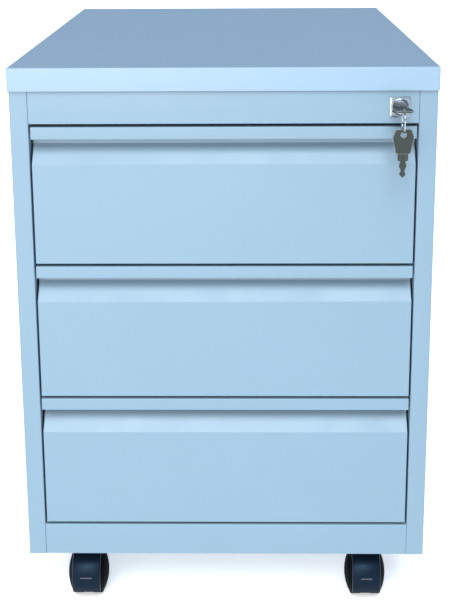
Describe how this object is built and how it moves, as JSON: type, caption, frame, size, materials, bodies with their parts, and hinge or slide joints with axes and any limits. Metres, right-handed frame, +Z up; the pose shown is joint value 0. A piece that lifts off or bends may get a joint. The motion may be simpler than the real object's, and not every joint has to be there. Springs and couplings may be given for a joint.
{
  "type": "rolling pedestal cabinet",
  "caption": "Low steel under-desk drawer unit on swivelling twin-wheel castors, with full-width finger pulls under each drawer's lip and a key lock in the header.",
  "frame": {"origin": "on the floor under the middle of the whole object's box, hanging keys included", "axes": "+Z up; the drawers open towards -Y; +X is the right-hand side, where the lock is, seen from the front"},
  "size_m": [0.43, 0.6624, 0.6],
  "materials": {
    "body_paint": "satin pale blue-grey powder coat",
    "top_paint": "satin pale blue-grey powder coat",
    "drawer_paint": "satin pale blue-grey powder coat",
    "tray_paint": "satin pale blue-grey powder coat",
    "chrome": "polished nickel-chrome plate",
    "key_metal": "dark plated key blank with pale worn edges",
    "wheel_plastic": "black moulded nylon",
    "hood_plastic": "black moulded nylon with a soft sheen",
    "fastener_steel": "bright zinc plate",
    "zinc_steel": "zinc-plated pressed steel"
  },
  "bodies": {
    "cabinet": {"side_panel_left": "body_paint", "side_panel_right": "body_paint", "back_panel": "body_paint", "floor_pan": "body_paint", "header_rail": "body_paint", "bottom_rail": "body_paint", "top_cover": "top_paint", "top_stiffeners": "zinc_steel", "top_screws": "fastener_steel", "runner_uprights_left": "zinc_steel", "runner_uprights_right": "zinc_steel", "castor_channels": "zinc_steel", "castor_plates": "zinc_steel", "castor_screws": "fastener_steel", "lock_housing": "chrome", "lock_nut": "zinc_steel", "lock_bar_guides": "zinc_steel", "runner_outer_1": "zinc_steel", "runner_outer_2": "zinc_steel", "runner_outer_3": "zinc_steel"},
    "drawer_1": {"drawer_front_1": "drawer_paint", "drawer_liner_1": "tray_paint", "drawer_tray_1": "tray_paint", "drawer_catch_1": "zinc_steel", "runner_inner_1": "zinc_steel"},
    "drawer_2": {"drawer_front_2": "drawer_paint", "drawer_liner_2": "tray_paint", "drawer_tray_2": "tray_paint", "drawer_catch_2": "zinc_steel", "runner_inner_2": "zinc_steel"},
    "drawer_3": {"drawer_front_3": "drawer_paint", "drawer_liner_3": "tray_paint", "drawer_tray_3": "tray_paint", "drawer_catch_3": "zinc_steel", "runner_inner_3": "zinc_steel"},
    "lock_plug": {"lock_cylinder": "chrome", "lock_cam": "zinc_steel"},
    "lock_slide": {"lock_bar": "zinc_steel", "lock_hooks": "zinc_steel"},
    "lock_key": {"key": "key_metal"},
    "key_ring": {"key_ring": "chrome"},
    "spare_key": {"spare_key": "key_metal"},
    "castor_front_left": {"castor_housing_front_left": "hood_plastic", "castor_axle_front_left": "fastener_steel"},
    "wheel_front_left_left": {"castor_wheel_front_left_left": "wheel_plastic"},
    "wheel_front_left_right": {"castor_wheel_front_left_right": "wheel_plastic"},
    "castor_front_right": {"castor_housing_front_right": "hood_plastic", "castor_axle_front_right": "fastener_steel"},
    "wheel_front_right_left": {"castor_wheel_front_right_left": "wheel_plastic"},
    "wheel_front_right_right": {"castor_wheel_front_right_right": "wheel_plastic"},
    "castor_rear_left": {"castor_housing_rear_left": "hood_plastic", "castor_axle_rear_left": "fastener_steel"},
    "wheel_rear_left_left": {"castor_wheel_rear_left_left": "wheel_plastic"},
    "wheel_rear_left_right": {"castor_wheel_rear_left_right": "wheel_plastic"},
    "castor_rear_right": {"castor_housing_rear_right": "hood_plastic", "castor_axle_rear_right": "fastener_steel"},
    "wheel_rear_right_left": {"castor_wheel_rear_right_left": "wheel_plastic"},
    "wheel_rear_right_right": {"castor_wheel_rear_right_right": "wheel_plastic"}
  },
  "joints": [
    {"name": "drawer_1_slide", "type": "slide", "parent": "cabinet", "child": "drawer_1", "axis": [0, -1, 0], "range_m": [0, 0.36]},
    {"name": "drawer_2_slide", "type": "slide", "parent": "cabinet", "child": "drawer_2", "axis": [0, -1, 0], "range_m": [0, 0.36]},
    {"name": "drawer_3_slide", "type": "slide", "parent": "cabinet", "child": "drawer_3", "axis": [0, -1, 0], "range_m": [0, 0.36]},
    {"name": "lock_turn", "type": "hinge", "parent": "cabinet", "child": "lock_plug", "pos_m": [0.176, -0.28582, 0.5594], "axis": [0, 1, 0], "range_deg": [0, 90]},
    {"name": "lock_bar_slide", "type": "slide", "parent": "cabinet", "child": "lock_slide", "axis": [0, 0, -1], "range_m": [0, 0.01]},
    {"name": "key_withdraw", "type": "slide", "parent": "lock_plug", "child": "lock_key", "axis": [0, -1, 0], "range_m": [0, 0.024]},
    {"name": "key_ring_swing", "type": "hinge", "parent": "lock_key", "child": "key_ring", "pos_m": [0.176, -0.31598, 0.5594], "axis": [1, 0, 0], "range_deg": [-45, 0]},
    {"name": "spare_key_swing", "type": "hinge", "parent": "key_ring", "child": "spare_key", "pos_m": [0.176, -0.31888, 0.5394], "axis": [0, 1, 0], "range_deg": [-50, 50]},
    {"name": "swivel_front_left", "type": "hinge", "parent": "cabinet", "child": "castor_front_left", "pos_m": [-0.155, -0.22883, 0.064], "axis": [0, 0, 1], "continuous": true},
    {"name": "roll_front_left_left", "type": "hinge", "parent": "castor_front_left", "child": "wheel_front_left_left", "pos_m": [-0.155, -0.24682, 0.025], "axis": [1, 0, 0], "continuous": true},
    {"name": "roll_front_left_right", "type": "hinge", "parent": "castor_front_left", "child": "wheel_front_left_right", "pos_m": [-0.155, -0.24682, 0.025], "axis": [1, 0, 0], "continuous": true},
    {"name": "swivel_front_right", "type": "hinge", "parent": "cabinet", "child": "castor_front_right", "pos_m": [0.155, -0.22883, 0.064], "axis": [0, 0, 1], "continuous": true},
    {"name": "roll_front_right_left", "type": "hinge", "parent": "castor_front_right", "child": "wheel_front_right_left", "pos_m": [0.155, -0.24682, 0.025], "axis": [1, 0, 0], "continuous": true},
    {"name": "roll_front_right_right", "type": "hinge", "parent": "castor_front_right", "child": "wheel_front_right_right", "pos_m": [0.155, -0.24682, 0.025], "axis": [1, 0, 0], "continuous": true},
    {"name": "swivel_rear_left", "type": "hinge", "parent": "cabinet", "child": "castor_rear_left", "pos_m": [-0.155, 0.27318, 0.064], "axis": [0, 0, 1], "continuous": true},
    {"name": "roll_rear_left_left", "type": "hinge", "parent": "castor_rear_left", "child": "wheel_rear_left_left", "pos_m": [-0.155, 0.25517, 0.025], "axis": [1, 0, 0], "continuous": true},
    {"name": "roll_rear_left_right", "type": "hinge", "parent": "castor_rear_left", "child": "wheel_rear_left_right", "pos_m": [-0.155, 0.25517, 0.025], "axis": [1, 0, 0], "continuous": true},
    {"name": "swivel_rear_right", "type": "hinge", "parent": "cabinet", "child": "castor_rear_right", "pos_m": [0.155, 0.27318, 0.064], "axis": [0, 0, 1], "continuous": true},
    {"name": "roll_rear_right_left", "type": "hinge", "parent": "castor_rear_right", "child": "wheel_rear_right_left", "pos_m": [0.155, 0.25517, 0.025], "axis": [1, 0, 0], "continuous": true},
    {"name": "roll_rear_right_right", "type": "hinge", "parent": "castor_rear_right", "child": "wheel_rear_right_right", "pos_m": [0.155, 0.25517, 0.025], "axis": [1, 0, 0], "continuous": true}
  ],
  "couplings": [
    {"joint": "lock_turn", "follows": "lock_bar_slide", "rad_per_m": 157.08}
  ]
}
